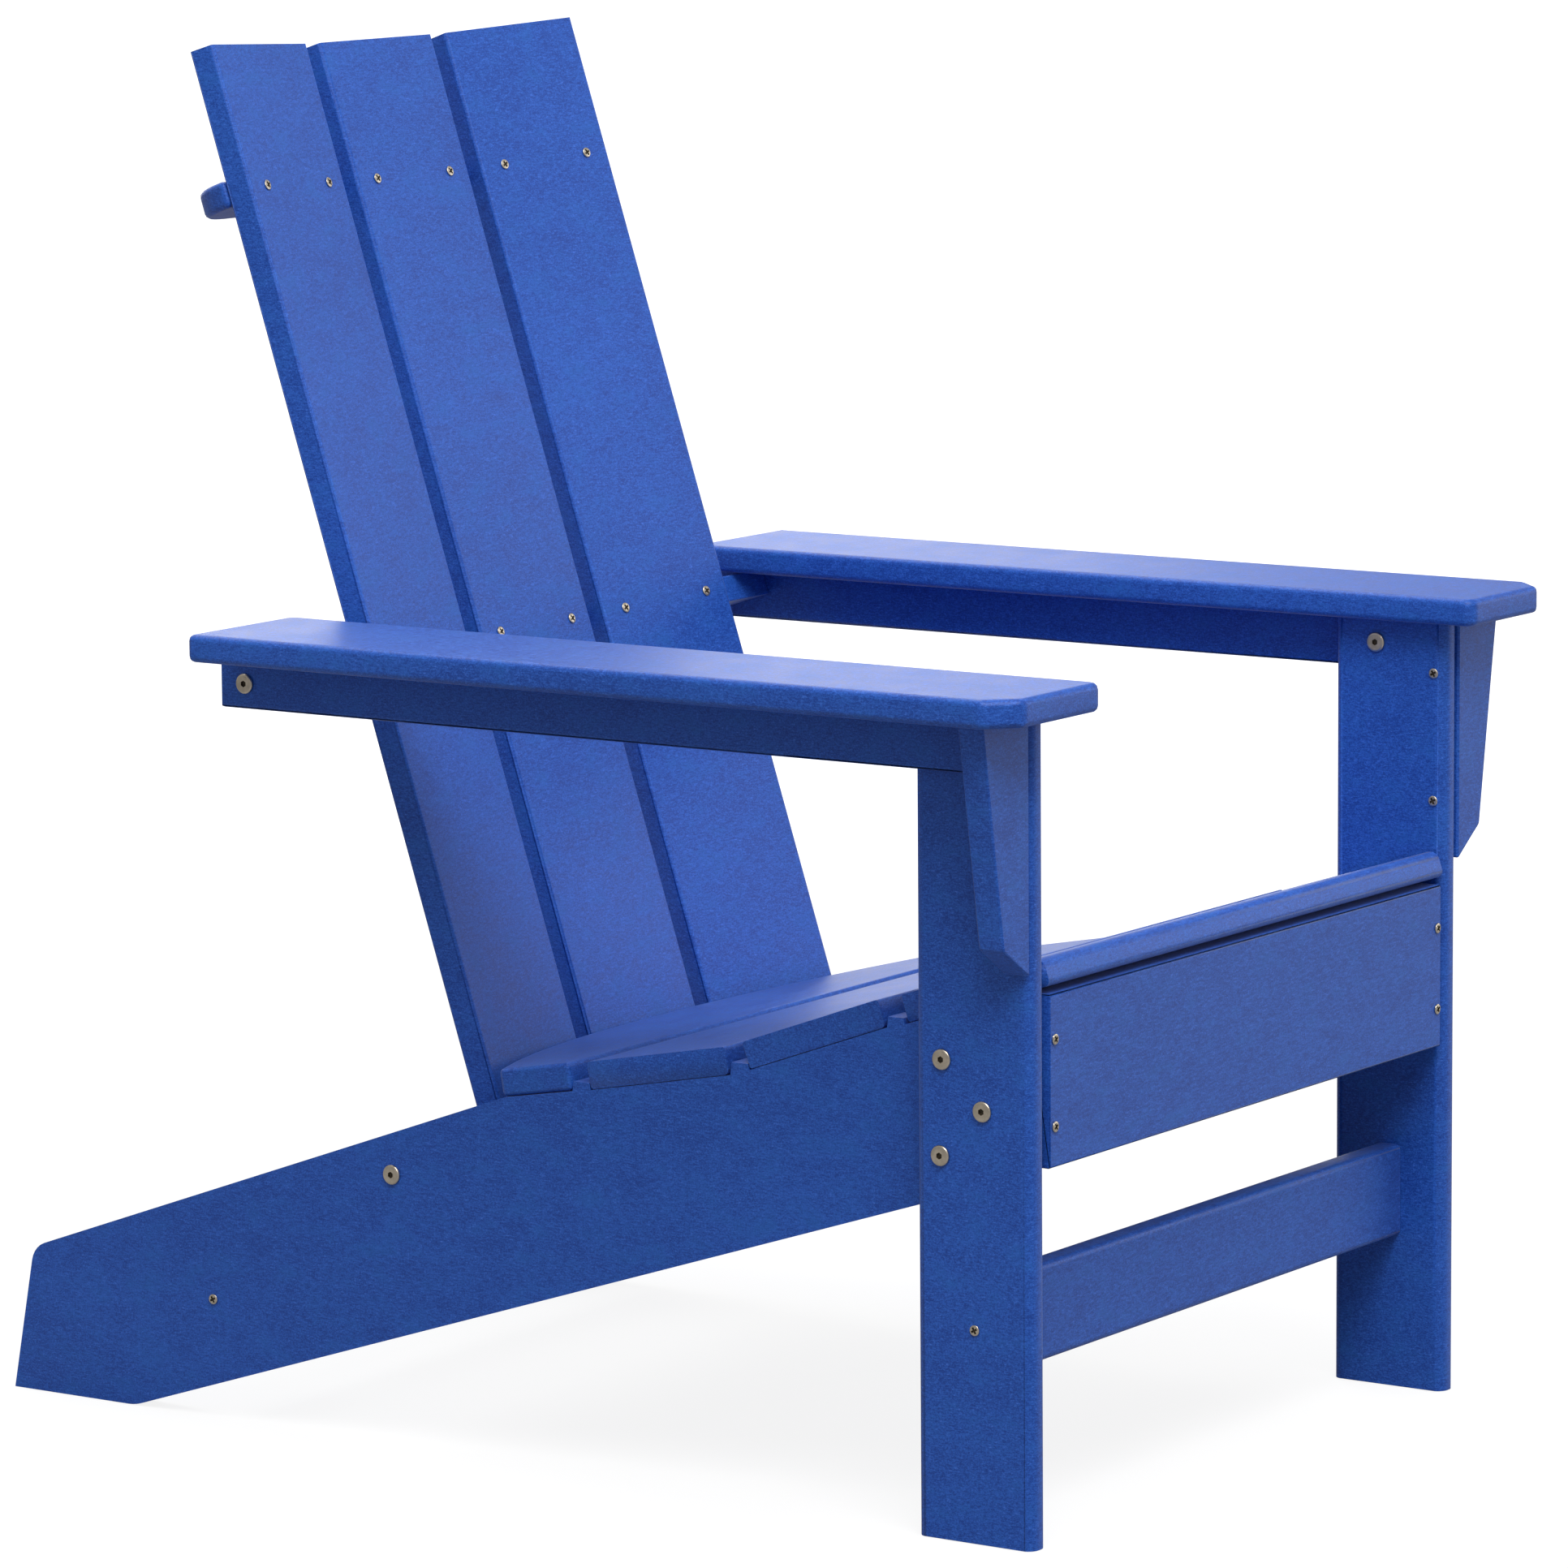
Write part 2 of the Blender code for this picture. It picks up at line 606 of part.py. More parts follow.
# Bolts and screws
rail_bolt = back_point(0.0, ARM_BRACE_BOLT_V, ARM_BRACE_U)
brace_bolt = back_point(0.0, LOWER_BRACE_BOLT_V, LOWER_BRACE_U)
for side, sign in SIDES:
    out = (sign, 0.0, 0.0)
    inward = (-sign, 0.0, 0.0)
    leg, rail, seat = f"front_leg_{side}", f"arm_rail_{side}", f"seat_rail_{side}"
    for number, (y, z) in enumerate(LEG_BOLTS, 1):
        place = (sign * FRAME_HALF_W, y, z)
        bolt(f"leg_bolt_{side}_{number}", place, out, LEG_BOLT_LEN, (leg, seat))
    place = (sign * LEG_IN, RAIL_BOLT_Y, POST_TOP_Z - RAIL_BOLT_DOWN)
    bolt(f"arm_rail_bolt_{side}", place, inward, LEG_BOLT_LEN, (leg, rail))
    place = (sign * RAIL_OUT, rail_bolt.y, rail_bolt.z)
    bolt(f"arm_brace_bolt_{side}", place, out, BRACE_BOLT_LEN, (rail, "arm_back_brace"))
    place = (sign * SEAT_RAIL_OUT, brace_bolt.y, brace_bolt.z)
    bolt(f"lower_brace_bolt_{side}", place, out, BRACE_BOLT_LEN, (seat, "lower_back_brace"))
    for number, down in enumerate(BRACKET_SCREWS_DOWN, 1):
        place = (sign * LEG_IN, BRACKET_SCREW_Y, POST_TOP_Z - down)
        screw(f"bracket_screw_{side}_{number}", place, inward, LEG_BOLT_LEN, (leg, f"arm_bracket_{side}"))
    place = (sign * FRAME_HALF_W, FRONT_STRETCHER_Y, FRONT_STRETCHER_Z)
    screw(f"front_stretcher_screw_{side}", place, out, BRACE_BOLT_LEN, (leg, "front_stretcher"))
    place = (sign * SEAT_RAIL_OUT, *REAR_STRETCHER_YZ)
    screw(f"rear_stretcher_screw_{side}", place, out, BRACE_BOLT_LEN, (seat, "rear_stretcher"))
    for number, z in enumerate(APRON_SCREWS_Z, 1):
        place = (sign * APRON_SCREW_X, 0.0, z)
        screw(f"apron_screw_{side}_{number}", place, (0.0, -1.0, 0.0), APRON_SCREW_LEN, ("apron", seat))

for name, frame in slat_frames.items():
    outward = -(frame.to_3x3() @ Vector((0.0, 1.0, 0.0)))
    for row, brace_u, brace_name in (
        ("upper", UPPER_BRACE_U, "upper_back_brace"),
        ("arm", ARM_BRACE_U, "arm_back_brace"),
    ):
        for number, x in enumerate((BACK_SCREW_EDGE, BACK_SLAT_W - BACK_SCREW_EDGE), 1):
            place = frame @ Vector((x, 0.0, BACK_HALF_LEN + brace_u))
            label = name.replace("back_slat", "back_screw")
            screw(f"{label}_{row}_{number}", place, outward, BACK_SCREW_LEN, (name, brace_name))

for made in boards:
    drill_board(made)

# The chair stands centred on the origin
centred = Matrix.Translation((0.0, -(ARM_FRONT_Y + RAIL_FOOT_Y) / 2.0, 0.0))
for made in list(body.objects) + list(cutters.objects):
    made.matrix_world = centred @ made.matrix_world
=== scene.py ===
"""Looks of a blue recycled-plastic adirondack chair: boards, stainless fasteners and a plain studio."""

import math
import random

import bmesh
import bpy
from mathutils import Matrix, Vector


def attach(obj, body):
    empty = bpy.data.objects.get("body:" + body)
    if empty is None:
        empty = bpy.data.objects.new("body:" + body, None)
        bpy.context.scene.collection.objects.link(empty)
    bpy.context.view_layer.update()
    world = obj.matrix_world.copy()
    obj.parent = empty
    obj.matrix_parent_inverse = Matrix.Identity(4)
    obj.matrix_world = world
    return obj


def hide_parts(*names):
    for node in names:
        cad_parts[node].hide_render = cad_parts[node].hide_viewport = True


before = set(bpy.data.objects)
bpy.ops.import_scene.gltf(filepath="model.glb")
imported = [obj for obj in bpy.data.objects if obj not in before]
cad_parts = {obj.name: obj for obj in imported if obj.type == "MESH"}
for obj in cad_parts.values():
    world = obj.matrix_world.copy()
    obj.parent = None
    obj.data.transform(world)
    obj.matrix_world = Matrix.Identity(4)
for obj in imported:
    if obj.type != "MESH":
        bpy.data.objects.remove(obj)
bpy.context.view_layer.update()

bl_info = {
    "name": "Adirondack Chair Looks",
    "version": (1, 0, 0),
    "blender": (4, 5, 0),
    "location": "3D View > Sidebar > Chair",
    "description": "Builds the boards, fasteners, finishes and stage of a plastic-board garden chair",
    "category": "Add Mesh",
}

# Which way things run: the chair's slopes and the directions that follow from them
SIDES = ("right", "left")
OUTWARD = {"right": -1.0, "left": 1.0}
RECLINE = math.radians(18.0)
WING = math.radians(8.4)
RAIL_SLOPE = math.radians(18.1)
ACROSS = Vector((1.0, 0.0, 0.0))
REARWARD = Vector((0.0, 1.0, 0.0))
UPWARD = Vector((0.0, 0.0, 1.0))
UP_THE_BACK = Vector((0.0, math.sin(RECLINE), math.cos(RECLINE)))
BEHIND_THE_BACK = Vector((0.0, math.cos(RECLINE), -math.sin(RECLINE)))
DOWN_THE_RAIL = Vector((0.0, math.cos(RAIL_SLOPE), -math.sin(RAIL_SLOPE)))

# The mottle of the plastic, in features to the metre along X, Y and Z
STREAKS = (210.0, 210.0, 900.0)
SPECKLE = (700.0, 700.0, 980.0)
GRIT = (1900.0, 1900.0, 2300.0)
CLOUDS = (34.0, 34.0, 60.0)
DRIFT = (5.0, 5.0, 9.0)
# Size of the end-grain pits that are painted darker as shade
PIT_SHADE_SPOTS = (900.0, 900.0, 900.0)
TURNING_MARKS = (2600.0, 2600.0, 2600.0)
SMUDGES = (190.0, 190.0, 190.0)
# Size of the patches in the painted shade of the driver recesses
RECESS_SHADE_PATCHES = (1500.0, 1500.0, 1500.0)

TEAL_PATCH = (0.008, 0.105, 0.390)
# Darker blue painted into end-grain pits as shade
PIT_PAINTED_SHADE = (0.006, 0.036, 0.220)
BRIGHT_STEEL = (0.70, 0.61, 0.49)
# Near-black and dark oily brown painted into driver recesses as shade
RECESS_PAINTED_SHADE = (0.020, 0.017, 0.014)
RECESS_SHADED_OIL = (0.10, 0.075, 0.045)
PLASTIC_RELIEF = 0.00018
STEEL_RELIEF = 0.00003

# Fasteners, in metres
HEAD_LIFT = 0.0003
HEAD_FACE_DEPTH = 0.0004
BOLT_HEAD_HEIGHT = 0.0020
BOLT_SHANK = 0.0031
BOLT_DOME = 0.0016
BOLT_SOCKET_DEPTH = 0.0013
BOARD_BOLT_LENGTH = 0.034
BRACE_BOLT_LENGTH = 0.045
SCREW_HEAD_HEIGHT = 0.0010
SCREW_SHANK = 0.0021
SCREW_DOME = 0.0011
SCREW_LENGTH = 0.034
CROSS_DEPTH = 0.0008
CROSS_SHARE = 0.66
CROSS_TURN = 0.5

# Studio: a light's place, what it is aimed at, its width and height and, for a card, its share of the power
FLOOR_HALF = 30.0
FLOOR_DROP = 0.0004
FADE_START = 1.3
FADE_END = 3.2
BACKDROP_GLOW = 1.6
KEY_LIGHT = ((-1.75, -1.90, 3.75), (0.0, 0.0, 0.3), (2.4, 2.4))
CARDS = {
    "front_card": ((2.9, -2.3, 1.1), (0.0, 0.0, 0.45), (2.6, 2.0), 1.0),
    "rear_card": ((2.6, 2.9, 1.5), (0.0, 0.0, 0.5), (3.0, 1.8), 1.6),
    "top_card": ((0.8, 1.5, 3.0), (0.0, 0.1, 0.5), (2.4, 2.0), 1.8),
}
CAMERA_PLACE = (-4.33640, -2.97889, 1.22011)
CAMERA_YAW = 0.595806
CAMERA_PITCH = -0.148413
CAMERA_ROLL = -0.0079800


# Shader graph helpers


class Value:
    """A float socket that can be used in arithmetic."""

    def __init__(self, tree, socket):
        self.tree = tree
        self.socket = socket

    def _math(self, kind, other=None, clamp=False):
        node = self.tree.nodes.new("ShaderNodeMath")
        node.operation = kind
        node.use_clamp = clamp
        self.tree.links.new(self.socket, node.inputs[0])
        if isinstance(other, Value):
            self.tree.links.new(other.socket, node.inputs[1])
        elif other is not None:
            node.inputs[1].default_value = other
        return Value(self.tree, node.outputs[0])

    def __add__(self, other):
        return self._math("ADD", other)

    def __sub__(self, other):
        return self._math("SUBTRACT", other)

    def __mul__(self, other):
        return self._math("MULTIPLY", other)

    def clamped(self):
        return self._math("ADD", 0.0, clamp=True)

    def between(self, low, high):
        """0 below low, 1 above high, smooth in between."""
        node = self.tree.nodes.new("ShaderNodeMapRange")
        node.interpolation_type = "SMOOTHSTEP"
        node.inputs["From Min"].default_value = low
        node.inputs["From Max"].default_value = high
        self.tree.links.new(self.socket, node.inputs["Value"])
        return Value(self.tree, node.outputs["Result"])


def scaled(tree, vector, scale):
    """The vector socket multiplied by a scale for each axis."""
    node = tree.nodes.new("ShaderNodeVectorMath")
    node.operation = "MULTIPLY"
    tree.links.new(vector, node.inputs[0])
    node.inputs[1].default_value = scale
    return node.outputs[0]


def noise(tree, vector, scale, detail=3.0, roughness=0.55):
    """Noise from 0 to 1 with a scale for each axis."""
    node = tree.nodes.new("ShaderNodeTexNoise")
    node.inputs["Scale"].default_value = 1.0
    node.inputs["Detail"].default_value = detail
    node.inputs["Roughness"].default_value = roughness
    tree.links.new(scaled(tree, vector, scale), node.inputs["Vector"])
    return Value(tree, node.outputs["Fac"])


def mixed(tree, factor, first, second):
    """A colour between two colours or sockets."""
    node = tree.nodes.new("ShaderNodeMix")
    node.data_type = "RGBA"
    tree.links.new(factor.socket, node.inputs[0])
    for place, colour in ((6, first), (7, second)):
        if isinstance(colour, bpy.types.NodeSocket):
            tree.links.new(colour, node.inputs[place])
        else:
            node.inputs[place].default_value = (*colour, 1.0)
    return node.outputs[2]


def bumped(tree, height, distance, strength):
    """A normal that follows the height, a distance deep."""
    node = tree.nodes.new("ShaderNodeBump")
    node.inputs["Strength"].default_value = strength
    node.inputs["Distance"].default_value = distance
    tree.links.new(height.socket, node.inputs["Height"])
    return node.outputs["Normal"]


def shader_of(name):
    """(material, node tree, Principled node) of a new material."""
    made = bpy.data.materials.new(name)
    made.use_nodes = True
    return made, made.node_tree, made.node_tree.nodes["Principled BSDF"]


def board_material(settings, end_grain=False):
    """Mottled polyethylene: level streaks, a fine speckle, broad clouding and pale flecks; on end faces, pits
    painted darker as shade.
    """
    made, tree, shader = shader_of("board_end_pit_shade" if end_grain else "board_face")
    source = tree.nodes.new("ShaderNodeAttribute")
    source.attribute_name = "grain"
    at = source.outputs["Vector"]
    streak = noise(tree, at, STREAKS, 3.0, 0.62)
    fine = noise(tree, at, SPECKLE, 3.0, 0.70)
    grit = noise(tree, at, GRIT, 1.0, 0.5)
    cloud = noise(tree, at, CLOUDS, 3.0, 0.55)
    drift = noise(tree, at, DRIFT, 2.0, 0.5)
    amount = settings.mottle
    tone = (streak - 0.5) * (1.7 * amount) + (fine - 0.5) * (2.3 * amount)
    tone = tone + (grit - 0.5) * (1.2 * amount)
    tone = tone + (cloud - 0.5) * (0.6 * amount) + (drift - 0.5) * (0.35 * amount)
    base = mixed(tree, (tone + 0.5).clamped(), settings.colour_dark, settings.colour_light)
    pale = (fine * 0.55 + streak * 0.45).between(0.57, 0.70) * (0.45 * amount)
    base = mixed(tree, pale, base, settings.colour_fleck)
    teal = (cloud * 0.5 + grit * 0.5).between(0.52, 0.66) * (0.40 * amount)
    base = mixed(tree, teal, base, TEAL_PATCH)
    if end_grain:
        # End faces: pits painted darker blue as shade, with no pit geometry under them
        pit_shade = noise(tree, at, PIT_SHADE_SPOTS).between(0.45, 0.7) * 0.45
        base = mixed(tree, pit_shade, base, PIT_PAINTED_SHADE)
    tree.links.new(base, shader.inputs["Base Color"])
    rough = (cloud - 0.5) * 0.14 + (streak - 0.5) * 0.16 + (fine - 0.5) * 0.12 + settings.roughness
    tree.links.new(rough.socket, shader.inputs["Roughness"])
    relief = streak * 0.45 + fine * 0.45 + grit * 0.2
    tree.links.new(bumped(tree, relief, PLASTIC_RELIEF, 0.45), shader.inputs["Normal"])
    shader.inputs["Specular IOR Level"].default_value = 0.32
    shader.inputs["Sheen Weight"].default_value = 0.10
    shader.inputs["Sheen Roughness"].default_value = 0.45
    return made


def steel_material(settings):
    """Stainless steel with fine turning marks and slight smudges."""
    made, tree, shader = shader_of("hardware_steel")
    source = tree.nodes.new("ShaderNodeTexCoord")
    at = source.outputs["Object"]
    marks = noise(tree, at, TURNING_MARKS, 3.0, 0.65)
    smudge = noise(tree, at, SMUDGES, 3.0, 0.6)
    base = mixed(tree, smudge.between(0.35, 0.7), settings.steel_colour, BRIGHT_STEEL)
    tree.links.new(base, shader.inputs["Base Color"])
    shader.inputs["Metallic"].default_value = 1.0
    rough = (smudge - 0.5) * 0.20 + (marks - 0.5) * 0.16 + settings.steel_roughness
    tree.links.new(rough.socket, shader.inputs["Roughness"])
    tree.links.new(bumped(tree, marks, STEEL_RELIEF, 0.4), shader.inputs["Normal"])
    return made


def recess_shade_material():
    """The inside of a driver recess, painted near-black and dark oily brown as shade."""
    made, tree, shader = shader_of("hardware_recess_painted_shade")
    source = tree.nodes.new("ShaderNodeTexCoord")
    shade_and_oil = noise(tree, source.outputs["Object"], RECESS_SHADE_PATCHES, 3.0, 0.6)
    # Painted shade: near-black mottled with dark oily brown
    base = mixed(tree, shade_and_oil.between(0.35, 0.65), RECESS_PAINTED_SHADE, RECESS_SHADED_OIL)
    tree.links.new(base, shader.inputs["Base Color"])
    rough = (shade_and_oil - 0.5) * 0.3 + 0.55
    tree.links.new(rough.socket, shader.inputs["Roughness"])
    shader.inputs["Metallic"].default_value = 0.6
    return made


materials = {}


def shared_material(name):
    """The finish of that name, made the first time it is asked for."""
    if name not in materials:
        settings = bpy.context.scene.chair_finish
        makers = {
            "face": lambda: board_material(settings),
            "end": lambda: board_material(settings, True),
            "steel": lambda: steel_material(settings),
            "recess": recess_shade_material,
        }
        materials[name] = makers[name]()
    return materials[name]


# Boards


def dress_board(node, along, edge):
    """A finished board over a CAD board: flat faces joined up, edges eased, its own patch of mottle."""
    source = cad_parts[node]
    work = bmesh.new()
    work.from_mesh(source.data)
    bmesh.ops.remove_doubles(work, verts=work.verts, dist=0.00001)
    bmesh.ops.dissolve_limit(work, angle_limit=0.004, verts=work.verts, edges=work.edges)
    reach = [along.dot(vert.co) for vert in work.verts]
    low = min(reach)
    high = max(reach)
    sharp = []
    for line in work.edges:
        if len(line.link_faces) != 2 or line.calc_face_angle(0.0) < math.radians(40.0):
            continue
        if line.calc_length() < 4.0 * edge:
            continue
        sharp.append(line)
    bmesh.ops.bevel(
        work,
        geom=sharp,
        offset=edge,
        offset_type="OFFSET",
        affect="EDGES",
        segments=3,
        profile=0.5,
        material=-1,
        clamp_overlap=True,
        loop_slide=True,
    )
    shift = Vector(random.Random(node).uniform(-3.0, 3.0) for _ in range(3))
    layer = work.verts.layers.float_vector.new("grain")
    for vert in work.verts:
        vert[layer] = vert.co + shift
    for face in work.faces:
        middle = along.dot(face.calc_center_median())
        face.smooth = True
        outermost = min(middle - low, high - middle) < 0.0015
        face.material_index = 1 if outermost and abs(along.dot(face.normal)) > 0.9 else 0
    bmesh.ops.recalc_face_normals(work, faces=work.faces)
    mesh = bpy.data.meshes.new(f"{node}_board")
    work.to_mesh(mesh)
    work.free()
    mesh.materials.append(shared_material("face"))
    mesh.materials.append(shared_material("end"))
    mesh.set_sharp_from_angle(angle=math.radians(50.0))
    made = bpy.data.objects.new(f"{node}_board", mesh)
    bpy.context.scene.collection.objects.link(made)
    soften = made.modifiers.new("flat_faces", "WEIGHTED_NORMAL")
    soften.keep_sharp = True
    soften.weight = 80
    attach(made, "root")
    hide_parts(node)


def dress_boards(nodes, along, edge):
    for node in nodes:
        dress_board(node, along, edge)


def on_both_sides(name):
    """The two nodes of a piece that each side has."""
    return [f"{name}_{side}" for side in SIDES]


# Fasteners


def turned_head(radius, height, shank, length, dome, steps):
    """A lathe-turned head and shank. Local Z = 0 is the board's surface."""
    work = bmesh.new()
    lift = HEAD_LIFT
    rim = [(0.0, -length), (shank * 0.7, -length), (shank, -length + shank * 0.4), (shank, lift)]
    rim += [(radius - 0.0002, lift), (radius, lift + 0.0003), (radius, lift + height * 0.45)]
    for step in range(1, 6):
        angle = math.radians(90.0 * step / 6)
        rim.append((radius - dome * (1.0 - math.cos(angle)), lift + height * (0.45 + 0.55 * math.sin(angle))))
    rim.append((radius - dome, lift + height))
    rim.append((0.0, lift + height))
    points = [work.verts.new((across, 0.0, up)) for across, up in rim]
    lines = [work.edges.new(pair) for pair in zip(points, points[1:])]
    bmesh.ops.spin(
        work,
        geom=points + lines,
        cent=(0.0, 0.0, 0.0),
        axis=(0.0, 0.0, 1.0),
        angle=2.0 * math.pi,
        steps=steps,
        use_merge=True,
    )
    bmesh.ops.remove_doubles(work, verts=work.verts, dist=0.000001)
    return work


def driver_tool(radius, depth, cross):
    """What a driver recess takes out of a head: a hexagon, or a four-armed cross."""
    tool = bmesh.new()
    if cross:
        for angle in (CROSS_TURN, CROSS_TURN + math.pi / 2.0):
            arm = bmesh.ops.create_cube(tool, size=1.0)["verts"]
            turn = Matrix.Rotation(angle, 3, "Z")
            bmesh.ops.scale(tool, vec=(2.0 * radius, radius * 0.62, 2.0 * depth), verts=arm)
            bmesh.ops.rotate(tool, cent=(0, 0, 0), matrix=turn, verts=arm)
    else:
        bmesh.ops.create_cone(
            tool, cap_ends=True, segments=6, radius1=radius * 0.94, radius2=radius, depth=2.0 * depth
        )
    return tool


def with_recess(work, top, tool, cross):
    """The head with a driver recess sunk in its flat top. A cross-shaped tool overlaps itself."""
    bmesh.ops.translate(tool, vec=(0.0, 0.0, top), verts=tool.verts)
    bmesh.ops.recalc_face_normals(tool, faces=tool.faces)
    head_mesh = bpy.data.meshes.new("head")
    bmesh.ops.recalc_face_normals(work, faces=work.faces)
    work.to_mesh(head_mesh)
    work.free()
    tool_mesh = bpy.data.meshes.new("tool")
    tool.to_mesh(tool_mesh)
    tool.free()
    head_mesh.materials.append(shared_material("steel"))
    head_mesh.materials.append(shared_material("recess"))
    tool_mesh.materials.append(shared_material("recess"))
    head = bpy.data.objects.new("head", head_mesh)
    cutter = bpy.data.objects.new("cutter", tool_mesh)
    for made in (head, cutter):
        bpy.context.scene.collection.objects.link(made)
    cut = head.modifiers.new("cut", "BOOLEAN")
    cut.operation = "DIFFERENCE"
    cut.solver = "EXACT"
    cut.use_self = cross
    # The cut faces take the recess material, which is painted dark as shade
    cut.material_mode = "TRANSFER"
    cut.object = cutter
    graph = bpy.context.evaluated_depsgraph_get()
    mesh = bpy.data.meshes.new_from_object(head.evaluated_get(graph))
    work = bmesh.new()
    work.from_mesh(mesh)
    for made in (head, cutter):
        bpy.data.objects.remove(made, do_unlink=True)
    return work


def fasten(node, outward, head_height, work):
    """Puts a finished fastener where the CAD one stands, with its local Z out of the board."""
    out = Vector(outward).normalized()
    points = [vert.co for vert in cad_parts[node].data.vertices]
    reach = max(point.dot(out) for point in points)
    top = [point - out * point.dot(out) for point in points if point.dot(out) > reach - HEAD_FACE_DEPTH]
    low = Vector(min(point[axis] for point in top) for axis in range(3))
    high = Vector(max(point[axis] for point in top) for axis in range(3))
    middle = (low + high) / 2.0
    surface = reach - HEAD_LIFT - head_height
    place = Matrix.Translation(middle - out * middle.dot(out) + out * surface)
    place = place @ out.to_track_quat("Z", "Y").to_matrix().to_4x4()
    bmesh.ops.remove_doubles(work, verts=work.verts, dist=0.000001)
    bmesh.ops.recalc_face_normals(work, faces=work.faces)
    bmesh.ops.transform(work, matrix=place, verts=work.verts)
    for face in work.faces:
        face.smooth = True
    mesh = bpy.data.meshes.new(f"{node}_metal")
    work.to_mesh(mesh)
    work.free()
    mesh.materials.append(shared_material("steel"))
    mesh.materials.append(shared_material("recess"))
    mesh.set_sharp_from_angle(angle=math.radians(35.0))
    made = bpy.data.objects.new(f"{node}_metal", mesh)
    bpy.context.scene.collection.objects.link(made)
    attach(made, "root")
    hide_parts(node)


def bolt(settings, length):
    """A flat-headed furniture bolt with a hex socket."""
    work = turned_head(settings.bolt_radius, BOLT_HEAD_HEIGHT, BOLT_SHANK, length, BOLT_DOME, 40)
    tool = driver_tool(settings.bolt_socket, BOLT_SOCKET_DEPTH, False)
    return with_recess(work, HEAD_LIFT + BOLT_HEAD_HEIGHT, tool, False)


def screw(settings):
    """A wood screw with a cross recess."""
    work = turned_head(settings.screw_radius, SCREW_HEAD_HEIGHT, SCREW_SHANK, SCREW_LENGTH, SCREW_DOME, 32)
    tool = driver_tool(settings.screw_radius * CROSS_SHARE, CROSS_DEPTH, True)
    return with_recess(work, HEAD_LIFT + SCREW_HEAD_HEIGHT, tool, True)


# Settings


class ChairBoardSettings(bpy.types.PropertyGroup):
    """Edges of the boards."""

    edge_round: bpy.props.FloatProperty(
        name="Edge rounding",
        description="Rounding of the sharp edges of the straight boards",
        default=0.0012,
        min=0.0002,
        max=0.004,
        subtype="DISTANCE",
        unit="LENGTH",
    )
    outline_round: bpy.props.FloatProperty(
        name="Outline rounding",
        description="Rounding of the cut outline of the seat rails and braces",
        default=0.0025,
        min=0.0002,
        max=0.004,
        subtype="DISTANCE",
        unit="LENGTH",
    )


class ChairFinishSettings(bpy.types.PropertyGroup):
    """Colours and surface of the plastic and the metal."""

    colour_dark: bpy.props.FloatVectorProperty(
        name="Dark blue",
        description="Darker blue of the mottled plastic",
        default=(0.0070, 0.050, 0.298),
        size=3,
        min=0.0,
        max=1.0,
        subtype="COLOR",
    )
    colour_light: bpy.props.FloatVectorProperty(
        name="Light blue",
        description="Lighter blue of the mottled plastic",
        default=(0.0250, 0.122, 0.560),
        size=3,
        min=0.0,
        max=1.0,
        subtype="COLOR",
    )
    colour_fleck: bpy.props.FloatVectorProperty(
        name="Fleck",
        description="Pale flecks in the plastic",
        default=(0.100, 0.220, 0.720),
        size=3,
        min=0.0,
        max=1.0,
        subtype="COLOR",
    )
    mottle: bpy.props.FloatProperty(
        name="Mottle",
        description="Strength of the streaks and flecks",
        default=1.25,
        min=0.0,
        max=2.0,
        subtype="FACTOR",
    )
    roughness: bpy.props.FloatProperty(
        name="Roughness",
        description="Roughness of the plastic",
        default=0.46,
        min=0.1,
        max=1.0,
        subtype="FACTOR",
    )
    steel_colour: bpy.props.FloatVectorProperty(
        name="Steel",
        description="Colour of the stainless fasteners",
        default=(0.57, 0.50, 0.40),
        size=3,
        min=0.0,
        max=1.0,
        subtype="COLOR",
    )
    steel_roughness: bpy.props.FloatProperty(
        name="Steel roughness",
        description="Roughness of the fasteners",
        default=0.34,
        min=0.05,
        max=1.0,
        subtype="FACTOR",
    )


class ChairFastenerSettings(bpy.types.PropertyGroup):
    """Heads of the bolts and screws."""

    bolt_radius: bpy.props.FloatProperty(
        name="Bolt head radius",
        description="Radius of the furniture bolts' flat heads",
        default=0.0069,
        min=0.004,
        max=0.012,
        subtype="DISTANCE",
        unit="LENGTH",
    )
    bolt_socket: bpy.props.FloatProperty(
        name="Hex socket radius",
        description="Radius over the corners of the hex socket",
        default=0.0024,
        min=0.001,
        max=0.005,
        subtype="DISTANCE",
        unit="LENGTH",
    )
    screw_radius: bpy.props.FloatProperty(
        name="Screw head radius",
        description="Radius of the wood screws' heads",
        default=0.0036,
        min=0.002,
        max=0.006,
        subtype="DISTANCE",
        unit="LENGTH",
    )


class ChairStageSettings(bpy.types.PropertyGroup):
    """Studio light and camera."""

    key_power: bpy.props.FloatProperty(
        name="Key light",
        description="Power of the soft overhead light",
        default=150.0,
        min=0.0,
        unit="POWER",
    )
    card_power: bpy.props.FloatProperty(
        name="Card lights",
        description="Power of the front card, which the rear and top cards follow",
        default=25.0,
        min=0.0,
        unit="POWER",
    )
    world_strength: bpy.props.FloatProperty(
        name="Surround",
        description="Light from the white surround",
        default=0.40,
        min=0.0,
    )
    floor_tone: bpy.props.FloatProperty(
        name="Floor tone",
        description="Reflectance of the floor",
        default=0.32,
        min=0.0,
        max=1.0,
        subtype="FACTOR",
    )
    shadow: bpy.props.FloatProperty(
        name="Shadow",
        description="Depth of the shadow on the floor",
        default=0.16,
        min=0.0,
        max=1.0,
        subtype="FACTOR",
    )
    lens: bpy.props.FloatProperty(
        name="Lens",
        description="Focal length of the camera on a 36 mm sensor",
        default=175.15,
        min=20.0,
        unit="CAMERA",
    )


# Operators


